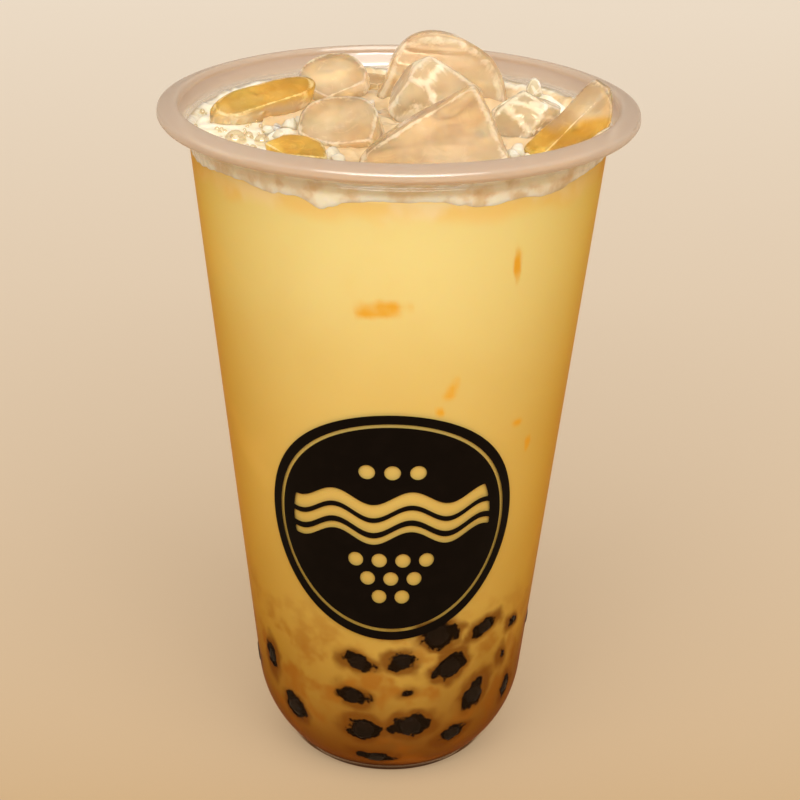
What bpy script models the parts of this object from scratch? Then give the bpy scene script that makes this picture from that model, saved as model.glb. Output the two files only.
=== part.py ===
"""Iced milk tea with tapioca pearls in a tall clear plastic cup.

Metres, +Z up. The origin is the centre of the cup's foot, on the table. The cup's front, the side
that carries the printing, faces -Y. The cup and the drink are turned round Z. The pieces of ice stand
in the drink and out of it, and the pearls lie against the wall in the lower part of the cup.
"""

import math

import bmesh
import bpy
from mathutils import Euler, Matrix, Vector

MM = 0.001

# Cup
CUP_HEIGHT = 140.0 * MM
LIP_RADIUS = 47.5 * MM
LIP_INNER_RADIUS = 43.2 * MM
LIP_DEPTH = 3.4 * MM
SHOULDER_DEPTH = 6.3 * MM
WALL_THICKNESS = 0.7 * MM
WALL_TAPER = math.tan(math.radians(6.85))
WALL_RADIUS_AT_AXIS_FOOT = 25.84 * MM
CORNER_RADIUS = 26.1 * MM
CORNER_HEIGHT = 21.3 * MM
FOOT_INNER_RADIUS = 14.4 * MM
FOOT_RECESS = 0.9 * MM
FLOOR_THICKNESS = 0.9 * MM
CORNER_STEPS = 8
WALL_STEPS = 4
TURN_STEPS = 48

# Drink
DRINK_LEVEL = 132.0 * MM
GAP = 0.3 * MM
FOAM_THICKNESS = 1.2 * MM
FOAM_INNER_RADIUS = 26.0 * MM
FOAM_START_DEG = 162.0
FOAM_END_DEG = 224.0
FOAM_ARC_STEPS = 12

# Pearls
PEARL_RADIUS = 3.7 * MM

# Turn from the front towards +X in degrees, and height in mm of the place on the wall that each touches
PEARL_PLACES = (
    (19.5, 36.9), (40.0, 36.5), (58.5, 34.5), (-12.7, 30.8), (5.2, 31.4), (25.2, 29.0), (-15.0, 22.6),
    (7.5, 23.6), (38.5, 20.5), (9.5, 15.4), (-11.0, 14.2), (30.5, 11.6), (-6.5, 5.6), (-58.6, 25.2),
    (-45.0, 15.5), (54.0, 27.4), (60.5, 18.4), (86.0, 29.0), (95.0, 19.5), (113.0, 33.0),
    (131.0, 21.0), (154.0, 30.0), (178.0, 19.0), (203.0, 31.0), (228.0, 21.0), (253.0, 32.0),
    (276.0, 20.0),
)

# Ice
ICE_EDGE_POWER = 9.0


def half_moon(radius, cut, half_thickness, stretch=1.0, side=None):
    """A slab of ice: a disc stretched along X, cut flat on its -Y side and, if asked, on its -X side."""
    planes = ((0, 0, 1, half_thickness), (0, 0, -1, half_thickness), (0, -1, 0, cut))
    if side is not None:
        planes += ((-1, 0, 0, side),)
    return {"disc": (radius, stretch), "planes": planes}


def chunk(*planes):
    """A broken piece of ice: the flat faces as direction x, y, z and distance from the middle."""
    return {"disc": None, "planes": planes}


# Middle in mm, turn in degrees, and shape in mm
ICE_PIECES = (
    ((7.0, 22.0, 133.0), (82, 20, 0), half_moon(15.5, 4.0, 3.6, side=12.0)),
    ((6.8, 5.8, 140.3), (0, 0, 0), chunk(
        (0.54, 0, 0.84, 6.4), (-1, 0, 0.15, 9.5), (-0.5, -0.2, 0.8, 7.0), (0, -0.8, 0.6, 6.5),
        (0, 0.9, 0.3, 6.0), (1, 0, -0.3, 10.5), (0, -0.3, -1, 7.0), (-0.6, 0.2, -0.8, 8.0))),
    ((6.5, -23.0, 138.3), (0, 0, 0), chunk(
        (-0.52, 0.1, 0.85, 6.0), (0.91, 0.1, 0.41, 12.4), (-1, 0, -0.1, 15.0), (0, -0.85, 0.5, 6.5),
        (0, 0.95, 0.1, 5.0), (0, 0, -1, 7.0), (-0.75, 0.65, 0, 9.5))),
    ((24.3, -3.8, 137.7), (0, 0, 0), chunk(
        (-0.3, 0, 0.95, 5.5), (0.55, 0, 0.8, 6.0), (0.9, -0.1, -0.2, 7.0), (-1, 0, 0.1, 6.8),
        (0, -0.85, 0.45, 6.0), (0, 0.95, 0.2, 6.0), (0, 0, -1, 6.0), (0.7, -0.7, -0.2, 6.0))),
    ((32.3, -15.2, 140.2), (-72, -36, 32), half_moon(10.8, 1.5, 2.6)),
    ((-27.0, 4.6, 137.2), (20, -9, 32), half_moon(4.9, 3.2, 2.5, stretch=2.5)),
    ((-13.5, 17.6, 137.6), (40, -8, 8), half_moon(7.8, 4.2, 2.6, stretch=1.14)),
    ((-11.0, -9.6, 135.8), (34, 4, -24), half_moon(8.4, 5.4, 2.6, stretch=1.12)),
    ((-19.7, -29.5, 136.2), (12, 5, -18), half_moon(6.6, 2.5, 2.2, stretch=1.2)),
    ((27.4, 21.0, 137.0), (80, 14, -52), half_moon(3.2, 2.6, 1.3, stretch=2.6)),
    ((10.2, -9.3, 132.8), (8, -6, 12), chunk(
        (0.2, 0, 1, 3.0), (0, 0, -1, 4.0), (1, 0.3, 0, 4.6), (-1, 0.2, 0, 5.4), (0, 1, 0.1, 4.4),
        (0.1, -1, 0, 4.2), (0.6, -0.6, 0.2, 5.0))),
    ((-6.0, 33.2, 133.0), (6, 4, -4), half_moon(5.2, 2.4, 2.4, stretch=1.7)),
    ((-7.2, 6.2, 133.8), (12, 2, -24), half_moon(4.6, 3.4, 1.6, stretch=1.5)),
)


def clear_scene():
    """Remove every object, mesh and collection that the file opened with."""
    for thing in list(bpy.data.objects):
        bpy.data.objects.remove(thing, do_unlink=True)
    for mesh in list(bpy.data.meshes):
        bpy.data.meshes.remove(mesh)
    for group in list(bpy.data.collections):
        bpy.data.collections.remove(group)


def new_collection(name):
    """Add a collection to the scene."""
    group = bpy.data.collections.new(name)
    bpy.context.scene.collection.children.link(group)
    return group


def make_material(name, colour, roughness, alpha=1.0, transmission=0.0, ior=1.45):
    """Make a Principled material."""
    material = bpy.data.materials.new(name)
    material.use_nodes = True
    shader = material.node_tree.nodes["Principled BSDF"]
    shader.inputs["Base Color"].default_value = (*colour, 1.0)
    shader.inputs["Roughness"].default_value = roughness
    shader.inputs["Metallic"].default_value = 0.0
    shader.inputs["Alpha"].default_value = alpha
    shader.inputs["Transmission Weight"].default_value = transmission
    shader.inputs["IOR"].default_value = ior
    return material


def add_object(name, mesh, group, material=None):
    """Put a mesh in the scene as an object of its own."""
    thing = bpy.data.objects.new(name, mesh)
    if material is not None:
        mesh.materials.append(material)
    group.objects.link(thing)
    return thing


def mesh_from_bmesh(name, shape):
    """Turn a bmesh into a mesh that is shaded smooth with sharp edges kept."""
    mesh = bpy.data.meshes.new(name)
    shape.to_mesh(mesh)
    shape.free()
    mesh.shade_smooth()
    mesh.set_sharp_from_angle(angle=math.radians(40))
    return mesh


def wall_line_radius(height, inset):
    """Radius of the straight wall, or of a surface set in from it along its normal."""
    return WALL_RADIUS_AT_AXIS_FOOT + WALL_TAPER * height - inset * math.hypot(1.0, WALL_TAPER)


def corner_centre_radius():
    """Radius of the circle that the corner arc's centre lies on, where the arc meets the wall smoothly."""
    return wall_line_radius(CORNER_HEIGHT, CORNER_RADIUS)


def wall_profile(inset, bottom, top):
    """Points from the top of a turned surface down its wall and round its corner to the bottom.

    The surface lies the inset inside the cup's outer face, so the same function gives both faces
    of the cup and the side of the drink.
    """
    arc_radius = CORNER_RADIUS - inset
    start_angle = -math.atan(WALL_TAPER)
    end_angle = math.asin((bottom - CORNER_HEIGHT) / arc_radius)
    tangent_height = CORNER_HEIGHT + arc_radius * math.sin(start_angle)
    points = []
    for step in range(WALL_STEPS):
        height = top + (tangent_height - top) * step / WALL_STEPS
        points.append((wall_line_radius(height, inset), height))
    for step in range(CORNER_STEPS + 1):
        angle = start_angle + (end_angle - start_angle) * step / CORNER_STEPS
        radius = corner_centre_radius() + arc_radius * math.cos(angle)
        points.append((radius, CORNER_HEIGHT + arc_radius * math.sin(angle)))
    return points


def turned_object(name, points, group, material, closed):
    """Turn a profile round Z with a Screw modifier.

    The profile lies at +X and runs down its outer side first. A closed profile's last point is
    joined to its first, except where both ends of the gap lie on the axis.
    """
    mesh = bpy.data.meshes.new(name)
    vertices = [(radius, 0.0, height) for radius, height in points]
    edges = [(index, index + 1) for index in range(len(points) - 1)]
    if closed:
        axis_edges = [index for index, edge in enumerate(edges)
                      if points[edge[0]][0] == 0.0 and points[edge[1]][0] == 0.0]
        edges = [edge for index, edge in enumerate(edges) if index not in axis_edges]
        edges.append((len(points) - 1, 0))
    mesh.from_pydata(vertices, edges, [])
    thing = add_object(name, mesh, group, material)
    turn = thing.modifiers.new("turn", "SCREW")
    turn.axis = "Z"
    turn.steps = TURN_STEPS
    turn.render_steps = TURN_STEPS
    turn.use_merge_vertices = True
    turn.merge_threshold = 0.00001
    turn.use_smooth_shade = True
    return thing


def make_cup(group, material):
    """The cup: a sloping lip, a shoulder under it, a tapered wall and a round foot with a recess."""
    lip_top = CUP_HEIGHT
    lip_bottom = CUP_HEIGHT - LIP_DEPTH
    shoulder_bottom = CUP_HEIGHT - SHOULDER_DEPTH
    lip = [
        (LIP_INNER_RADIUS + 0.9 * MM, lip_top),
        (LIP_RADIUS - 0.8 * MM, lip_top - 0.9 * MM),
        (LIP_RADIUS - 0.15 * MM, lip_top - 1.4 * MM),
        (LIP_RADIUS, lip_top - 2.0 * MM),
        (LIP_RADIUS - 0.1 * MM, lip_top - 2.7 * MM),
        (LIP_RADIUS - 0.7 * MM, lip_bottom + 0.2 * MM),
        (LIP_RADIUS - 1.4 * MM, lip_bottom),
        (LIP_RADIUS - 4.3 * MM, lip_bottom - 0.4 * MM),
    ]
    outer = wall_profile(0.0, 0.0, shoulder_bottom)
    foot = [
        (FOOT_INNER_RADIUS + 0.9 * MM, 0.0),
        (FOOT_INNER_RADIUS, FOOT_RECESS),
        (0.0, FOOT_RECESS),
    ]
    inner = wall_profile(WALL_THICKNESS, FOOT_RECESS + FLOOR_THICKNESS, shoulder_bottom)
    inner.reverse()
    inside = [(0.0, FOOT_RECESS + FLOOR_THICKNESS)] + inner + [
        (LIP_INNER_RADIUS - 0.9 * MM, lip_bottom),
        (LIP_INNER_RADIUS, lip_top - 0.8 * MM),
        (LIP_INNER_RADIUS + 0.3 * MM, lip_top - 0.2 * MM),
    ]
    return turned_object("cup", lip + outer + foot + inside, group, material, closed=True)


def make_drink(group, material):
    """The milk tea: a solid that fills the cup to its level, a gap inside the wall."""
    inset = WALL_THICKNESS + GAP
    bottom = FOOT_RECESS + FLOOR_THICKNESS + GAP
    side = wall_profile(inset, bottom, DRINK_LEVEL)
    points = [(0.0, DRINK_LEVEL)] + side + [(0.0, bottom)]
    return turned_object("milk_tea", points, group, material, closed=False)


def shape_reach(direction, shape, grow):
    """How far a rounded piece of ice reaches from its middle in one direction.

    Each flat face stands for the ratio of the direction's part along its normal to its distance. The
    ratios are joined by a high power, which rounds the edges where the faces meet.
    """
    total = 0.0
    if shape["disc"]:
        radius, stretch = shape["disc"]
        across = math.hypot(direction.x / stretch, direction.y)
        total += (across / (radius + grow)) ** ICE_EDGE_POWER
    for x, y, z, distance in shape["planes"]:
        along = direction.dot(Vector((x, y, z)).normalized())
        if along > 0.0:
            total += (along / (distance + grow)) ** ICE_EDGE_POWER
    return MM * total ** (-1.0 / ICE_EDGE_POWER)


def ice_mesh(name, shape, grow):
    """An icosphere whose points are moved out to the faces of a piece of ice."""
    ball = bmesh.new()
    bmesh.ops.create_icosphere(ball, subdivisions=3, radius=1.0)
    for point in ball.verts:
        direction = point.co.normalized()
        point.co = direction * shape_reach(direction, shape, grow)
    return mesh_from_bmesh(name, ball)


def make_ice(group, cutters, material):
    """The pieces of ice, and for each a slightly larger cutter for the drink and the foam."""
    for number, (middle, turn, shape) in enumerate(ICE_PIECES, start=1):
        place = Matrix.Translation(Vector(middle) * MM)
        tilt = Euler([math.radians(angle) for angle in turn], "XYZ").to_matrix().to_4x4()
        name = f"ice_{number:02d}"
        ice = add_object(name, ice_mesh(name, shape, 0.0), group, material)
        ice.matrix_world = place @ tilt
        cutter = add_object(f"cut_{name}", ice_mesh(f"cut_{name}", shape, GAP / MM), cutters)
        cutter.matrix_world = place @ tilt


def wall_place(height):
    """The outer wall's point at a height, as radius and height, and its outward normal."""
    start_angle = -math.atan(WALL_TAPER)
    tangent_height = CORNER_HEIGHT + CORNER_RADIUS * math.sin(start_angle)
    if height >= tangent_height:
        return wall_line_radius(height, 0.0), Vector((math.cos(start_angle), math.sin(start_angle)))
    angle = math.asin((height - CORNER_HEIGHT) / CORNER_RADIUS)
    radius = corner_centre_radius() + CORNER_RADIUS * math.cos(angle)
    return radius, Vector((math.cos(angle), math.sin(angle)))


def pearl_mesh(name, radius):
    """A ball with one of its points at +Z, the side that is turned to the wall."""
    ball = bmesh.new()
    bmesh.ops.create_icosphere(ball, subdivisions=2, radius=radius)
    return mesh_from_bmesh(name, ball)


def make_pearls(group, cutters, material):
    """The pearls, each a gap inside the wall, and a cutter that opens its pocket to the wall."""
    inset = WALL_THICKNESS + GAP + PEARL_RADIUS
    for number, (turn, height) in enumerate(PEARL_PLACES, start=1):
        radius, normal = wall_place(height * MM)
        around = math.radians(turn - 90.0)
        outward = Vector((normal.x * math.cos(around), normal.x * math.sin(around), normal.y))
        wall_point = Vector((radius * math.cos(around), radius * math.sin(around), height * MM))
        place = Matrix.Translation(wall_point - outward * inset)
        turned = outward.to_track_quat("Z", "Y").to_matrix().to_4x4()
        name = f"pearl_{number:02d}"
        pearl = add_object(name, pearl_mesh(name, PEARL_RADIUS), group, material)
        pearl.matrix_world = place @ turned
        cutter = add_object(f"cut_{name}", pearl_mesh(f"cut_{name}", PEARL_RADIUS + GAP), cutters)
        cutter.matrix_world = place @ turned


def make_foam(group, material):
    """The patch of foam at the left side of the cup, an extruded outline of two arcs."""
    bottom = DRINK_LEVEL + GAP
    outer_radius = wall_line_radius(bottom, WALL_THICKNESS + GAP)
    first = math.radians(FOAM_START_DEG)
    sweep = math.radians(FOAM_END_DEG - FOAM_START_DEG)
    turns = [first + sweep * step / FOAM_ARC_STEPS for step in range(FOAM_ARC_STEPS + 1)]
    outline = [(outer_radius * math.cos(turn), outer_radius * math.sin(turn)) for turn in turns]
    turns.reverse()
    outline += [(FOAM_INNER_RADIUS * math.cos(turn), FOAM_INNER_RADIUS * math.sin(turn)) for turn in turns]
    curve = bpy.data.curves.new("milk_foam", "CURVE")
    curve.dimensions = "2D"
    curve.fill_mode = "BOTH"
    curve.extrude = FOAM_THICKNESS / 2
    spline = curve.splines.new("POLY")
    spline.points.add(len(outline) - 1)
    for point, (x, y) in zip(spline.points, outline):
        point.co = (x, y, 0.0, 1.0)
    spline.use_cyclic_u = True
    flat = bpy.data.objects.new("milk_foam_outline", curve)
    group.objects.link(flat)
    bpy.context.view_layer.update()
    evaluated = flat.evaluated_get(bpy.context.evaluated_depsgraph_get())
    mesh = bpy.data.meshes.new_from_object(evaluated)
    mesh.name = "milk_foam"
    bpy.data.objects.remove(flat, do_unlink=True)
    body = bmesh.new()
    body.from_mesh(mesh)
    bmesh.ops.remove_doubles(body, verts=body.verts, dist=0.00001)
    body.to_mesh(mesh)
    body.free()
    foam = add_object("milk_foam", mesh, group, material)
    foam.location = (0.0, 0.0, bottom + FOAM_THICKNESS / 2)
    return foam


def cut_all(target, cutters):
    """Cut every cutter out of a body, one Boolean modifier each."""
    for cutter in cutters:
        cut = target.modifiers.new(cutter.name, "BOOLEAN")
        cut.operation = "DIFFERENCE"
        cut.solver = "EXACT"
        cut.object = cutter


def main():
    clear_scene()
    parts = new_collection("bubble_tea")
    cutters = new_collection("cutters")
    clear_plastic = make_material("clear_plastic", (0.86, 0.80, 0.74), 0.25, alpha=0.3)
    milk_tea = make_material("milk_tea", (0.87, 0.60, 0.25), 0.35)
    foam = make_material("milk_foam", (0.93, 0.84, 0.66), 0.5)
    clear_ice = make_material("ice", (0.84, 0.62, 0.38), 0.08, alpha=0.8, transmission=0.2, ior=1.31)
    tapioca = make_material("tapioca", (0.035, 0.018, 0.010), 0.25)

    make_cup(parts, clear_plastic)
    drink = make_drink(parts, milk_tea)
    foam_patch = make_foam(parts, foam)
    make_ice(parts, cutters, clear_ice)
    make_pearls(parts, cutters, tapioca)
    for cutter in cutters.objects:
        cutter.hide_render = True
        cutter.display_type = "WIRE"
    cut_all(drink, cutters.objects)
    cut_all(foam_patch, [cutter for cutter in cutters.objects if cutter.name.startswith("cut_ice")])


main()
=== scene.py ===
"""The looks of an iced milk tea with tapioca pearls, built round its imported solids.

Metres, +Z up, and the cup's front faces -Y. Every new piece is a surface worked out with numpy in
the place of the solid that it stands for. Lengths in the tables below are in millimetres.
"""

import math

import bpy
import numpy as np
from mathutils import Euler, Matrix, Vector


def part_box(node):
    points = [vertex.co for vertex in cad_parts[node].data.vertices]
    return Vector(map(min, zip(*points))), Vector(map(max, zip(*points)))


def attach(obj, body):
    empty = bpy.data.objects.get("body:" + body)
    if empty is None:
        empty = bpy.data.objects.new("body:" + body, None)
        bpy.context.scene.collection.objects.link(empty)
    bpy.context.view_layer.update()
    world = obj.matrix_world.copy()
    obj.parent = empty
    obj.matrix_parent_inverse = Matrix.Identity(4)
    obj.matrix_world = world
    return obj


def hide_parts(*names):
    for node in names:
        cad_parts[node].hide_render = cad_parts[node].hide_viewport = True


bl_info = {
    "name": "Bubble tea",
    "version": (1, 0, 0),
    "blender": (4, 5, 0),
    "location": "3D View > Sidebar > Bubble tea",
    "description": "Builds the cup, drink, ice, pearls and foam of a bubble tea",
    "category": "Object",
}

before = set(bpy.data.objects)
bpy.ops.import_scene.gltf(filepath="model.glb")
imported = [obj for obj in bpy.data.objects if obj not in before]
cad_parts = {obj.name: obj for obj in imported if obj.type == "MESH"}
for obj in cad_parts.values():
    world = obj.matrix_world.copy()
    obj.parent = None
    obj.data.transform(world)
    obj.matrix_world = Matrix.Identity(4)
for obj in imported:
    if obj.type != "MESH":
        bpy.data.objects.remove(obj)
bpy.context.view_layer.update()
CUP_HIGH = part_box("cup")[1]

MM = 0.001

# Cup wall, as in the solids
WALL_TAPER = math.tan(math.radians(6.85))
WALL_RADIUS_AT_AXIS_FOOT = 25.84
CORNER_RADIUS = 26.1
CORNER_HEIGHT = 21.3
SHOULDER_DEPTH = 6.3
LIP_DEPTH = 3.4
FOOT_RING_RADIUS = 14.4
FOOT_RECESS = 0.9
FLOOR_THICKNESS = 0.9

# How far the fillings reach into the wall, so that no gap shows
DRINK_REACH = 0.2
SLUSH_REACH = 0.25
PEARL_REACH = 0.35

# Pearls at the wall: turn from the front towards +X in degrees, height of the place on the wall,
# radius of the cap that presses through the milk to the wall, how much wider than round the cap is,
# and its lean in degrees
PEARLS = (
    (19.5, 36.9, 3.2, 1.15, 10), (40.0, 36.5, 2.2, 1.35, 25), (58.5, 34.5, 1.2, 1.0, 0),
    (-12.7, 30.8, 2.4, 1.30, -25), (5.2, 31.4, 2.3, 1.15, 20), (25.2, 29.0, 2.9, 1.20, 30),
    (-15.0, 22.6, 2.3, 1.20, -10), (7.5, 23.6, 0.6, 1.40, 5), (38.5, 20.5, 2.9, 0.80, -30),
    (9.5, 15.4, 3.1, 1.25, 10), (-11.0, 14.2, 3.0, 1.20, -5), (30.5, 11.6, 2.4, 1.15, 35),
    (-6.5, 5.6, 2.6, 1.40, -5), (-58.6, 25.2, 2.2, 0.80, 15), (-45.0, 15.5, 2.6, 0.90, 25),
    (54.0, 27.4, 0.9, 0.8, 10), (60.5, 18.4, 1.9, 0.8, 0), (86.0, 29.0, 2.4, 1.1, 5),
    (95.0, 19.5, 2.0, 1.2, 0), (113.0, 33.0, 2.6, 1.2, 20), (131.0, 21.0, 2.9, 1.1, 0),
    (154.0, 30.0, 2.2, 1.3, -15), (178.0, 19.0, 2.7, 1.2, 10), (203.0, 31.0, 2.4, 0.9, 0),
    (228.0, 21.0, 2.8, 1.2, -20), (253.0, 32.0, 2.1, 1.2, 15), (276.0, 20.0, 2.5, 1.1, 0),
)
PEARL_RADIUS = 3.7
PEARL_INSET = 4.7


def half_moon(radius, cut, half_thickness, stretch=1.0, side=None):
    """A slab of ice: a disc stretched along X, cut flat on its -Y side and, if asked, on its -X side."""
    planes = ((0, 0, 1, half_thickness), (0, 0, -1, half_thickness), (0, -1, 0, cut))
    if side is not None:
        planes += ((-1, 0, 0, side),)
    return {"disc": (radius, stretch), "planes": planes}


def chunk(*planes):
    """A broken piece of ice: the flat faces as direction x, y, z and distance from the middle."""
    return {"disc": None, "planes": planes}


# Node, kind of ice, heights between which tea has soaked in, middle, turn in degrees, and shape
ICE_PIECES = (
    ("ice_01", "melted", (120.0, 133.0), (7.0, 22.0, 133.0), (82, 20, 0),
     half_moon(15.5, 4.0, 3.6, side=12.0)),
    ("ice_02", "cracked", (120.0, 133.0), (6.8, 5.8, 140.3), (0, 0, 0), chunk(
        (0.54, 0, 0.84, 6.4), (-1, 0, 0.15, 9.5), (-0.5, -0.2, 0.8, 7.0), (0, -0.8, 0.6, 6.5),
        (0, 0.9, 0.3, 6.0), (1, 0, -0.3, 10.5), (0, -0.3, -1, 7.0), (-0.6, 0.2, -0.8, 8.0))),
    ("ice_03", "melted", (120.0, 134.0), (6.5, -23.0, 138.3), (0, 0, 0), chunk(
        (-0.52, 0.1, 0.85, 6.0), (0.91, 0.1, 0.41, 12.4), (-1, 0, -0.1, 15.0), (0, -0.85, 0.5, 6.5),
        (0, 0.95, 0.1, 5.0), (0, 0, -1, 7.0), (-0.75, 0.65, 0, 9.5))),
    ("ice_04", "crushed", (120.0, 133.0), (24.3, -3.8, 137.7), (0, 0, 0), chunk(
        (-0.3, 0, 0.95, 5.5), (0.55, 0, 0.8, 6.0), (0.9, -0.1, -0.2, 7.0), (-1, 0, 0.1, 6.8),
        (0, -0.85, 0.45, 6.0), (0, 0.95, 0.2, 6.0), (0, 0, -1, 6.0), (0.7, -0.7, -0.2, 6.0))),
    ("ice_05", "melted", (120.0, 140.0), (32.3, -15.2, 140.2), (-72, -36, 32), half_moon(10.8, 1.5, 2.6)),
    ("ice_06", "melted", (137.0, 150.0), (-27.0, 4.6, 137.2), (20, -9, 32),
     half_moon(4.9, 3.2, 2.5, stretch=2.5)),
    ("ice_07", "split", (120.0, 134.0), (-13.5, 17.6, 137.6), (40, -8, 8),
     half_moon(7.8, 4.2, 2.6, stretch=1.14)),
    ("ice_08", "split", (120.0, 133.0), (-11.0, -9.6, 135.8), (34, 4, -24),
     half_moon(8.4, 5.4, 2.6, stretch=1.12)),
    ("ice_09", "split", (120.0, 150.0), (-19.7, -29.5, 136.2), (12, 5, -18),
     half_moon(6.6, 2.5, 2.2, stretch=1.2)),
    ("ice_10", "frosted", (120.0, 131.0), (27.4, 21.0, 137.0), (80, 14, -52),
     half_moon(3.2, 2.6, 1.3, stretch=2.6)),
    ("ice_11", "split", (120.0, 134.0), (10.2, -9.3, 132.8), (8, -6, 12), chunk(
        (0.2, 0, 1, 3.0), (0, 0, -1, 4.0), (1, 0.3, 0, 4.6), (-1, 0.2, 0, 5.4), (0, 1, 0.1, 4.4),
        (0.1, -1, 0, 4.2), (0.6, -0.6, 0.2, 5.0))),
    ("ice_12", "split", (120.0, 134.0), (-6.0, 33.2, 133.0), (6, 4, -4),
     half_moon(5.2, 2.4, 2.4, stretch=1.7)),
    ("ice_13", "split", (120.0, 133.0), (-7.2, 6.2, 133.8), (12, 2, -24),
     half_moon(4.6, 3.4, 1.6, stretch=1.5)),
)

# How each kind of ice is shaped: the power that sets how sharp its edges are, the number of chipped
# faces, how far those faces may lean towards the slab's flat sides, and the size of its fine ripples
ICE_KINDS = {
    "melted": (9.0, 0, 0.0, 0.0),
    "split": (18.0, 9, 0.35, 0.03),
    "cracked": (22.0, 14, 1.0, 0.06),
    "crushed": (26.0, 26, 1.0, 0.10),
    "frosted": (20.0, 20, 1.0, 0.10),
}

# Sunk ice at the wall: turn from the front in degrees, height, half width, half height, and lean in
# degrees
SUNK_ICE = (
    (-4.5, 109.6, 4.2, 1.7, 8.0),
    (35.5, 116.0, 0.9, 3.6, 4.0),
    (17.5, 92.6, 1.3, 2.6, -20.0),
    (14.5, 88.0, 0.8, 0.9, 0.0),
    (43.5, 82.4, 1.8, 0.9, 25.0),
    (50.0, 77.0, 0.8, 1.6, -10.0),
)

# Foam bubbles: turn from +X in degrees, distance from the axis, and radius
LARGE_BUBBLES = ((203.0, 34.0, 2.2), (207.0, 29.4, 1.5), (198.0, 30.5, 0.9), (213.0, 33.0, 0.8))

# Lines of froth on the slush: both ends as x and y, half width, and rise
FROTH_LINES = (
    (20.0, 33.0, 33.0, 15.0, 1.8, 2.6),
    (-39.0, 3.0, -29.6, 31.0, 3.0, 0.8),
    (-25.0, -9.0, -20.0, 0.0, 3.0, 1.4),
    (20.9, -24.5, 27.0, -18.0, 2.4, 1.6),
)

# Froth seen through the wall: turn from the front in degrees, half width in degrees, and depth
# below the drink's level
WALL_FROTH = (
    (-20.0, 6.0, 2.4), (-36.0, 5.0, 1.2), (24.0, 9.0, 1.9), (43.0, 9.0, 1.8), (-70.0, 12.0, 1.0))

# Colours that the materials add to those of the settings
CLEAR_WALL = (1.0, 0.995, 0.985)
# Painted shade: the see-through colour at the cup's foot
FOOT_PAINTED_SHADE = (0.22, 0.10, 0.035)
WALL_GLOSS = (1.0, 0.98, 0.95)
# Dark tea at the foot, deepened by painted shade
TEA_AND_SHADE_AT_FOOT = (0.17, 0.060, 0.008)
TEA_MOTTLE = (0.28, 0.105, 0.012)
# Brown for the drink low down on its +X side
TEA_LOW_RIGHT = (0.19, 0.075, 0.010)
TEA_ROUND_PEARLS = (0.16, 0.060, 0.008)
TEA_FILM = (0.99, 0.89, 0.62)
MILK_CLOUD = (0.90, 0.70, 0.33)
MILK_SURFACE = (0.90, 0.76, 0.48)
MILK_UNDER_FROTH = ((0.80, 0.64, 0.33), (0.82, 0.74, 0.60))
SUNK_AMBER = (0.72, 0.42, 0.060)
CLOUDY_ICE = (0.92, 0.77, 0.56)
# Pale frost in the ice's veins, and painted highlight along its edges
FROST_AND_EDGE_HIGHLIGHT = (0.98, 0.90, 0.76)
PALER_PEARL = (0.011, 0.005, 0.0025)
MILKY_FOAM = (0.93, 0.72, 0.38)
SLUSH = ((0.70, 0.51, 0.29), (0.77, 0.60, 0.38))
SOAKED_SLUSH = (0.74, 0.44, 0.080)
BUBBLE_FILM = (0.92, 0.86, 0.75)
BUBBLE_GLOSS = (1.0, 0.97, 0.90)
WORN_INK = (0.0045, 0.0024, 0.0014)

# Shares of the floor's colour that light falls on, and that it gives off by itself
FLOOR_LIT = (0.55, 0.55, 0.55)
FLOOR_GLOW = (0.54, 0.486, 0.441)

# Colours of the lights and of the surroundings
WARM_WHITE = (1.0, 0.97, 0.92)
WARM_SKY = (1.0, 0.84, 0.66, 1.0)

# Camera: place, lens in mm, and its angles in degrees
CAMERA_PLACE = (0.0, -0.500, 0.27531)
CAMERA_LENS = 118.07
CAMERA_TURN = 0.144
CAMERA_DOWN = 21.676
CAMERA_ROLL = 1.056


class CupSettings(bpy.types.PropertyGroup):
    """Sizes and colours of the cup."""

    height: bpy.props.FloatProperty(
        name="Height", description="Height of the cup", default=float(CUP_HIGH[2]), unit="LENGTH")
    lip_radius: bpy.props.FloatProperty(
        name="Lip radius", description="Outer radius of the lip", default=float(CUP_HIGH[0]), unit="LENGTH")
    wall: bpy.props.FloatProperty(
        name="Wall", description="Thickness of the wall", default=0.7 * MM, unit="LENGTH")
    tint: bpy.props.FloatVectorProperty(
        name="Plastic", description="Colour of the milky plastic", size=3, min=0.0, max=1.0,
        default=(0.545, 0.43, 0.342), subtype="COLOR")
    ink: bpy.props.FloatVectorProperty(
        name="Ink", description="Colour of the printing", size=3, min=0.0, max=1.0,
        default=(0.0030, 0.0015, 0.0008), subtype="COLOR")


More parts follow.
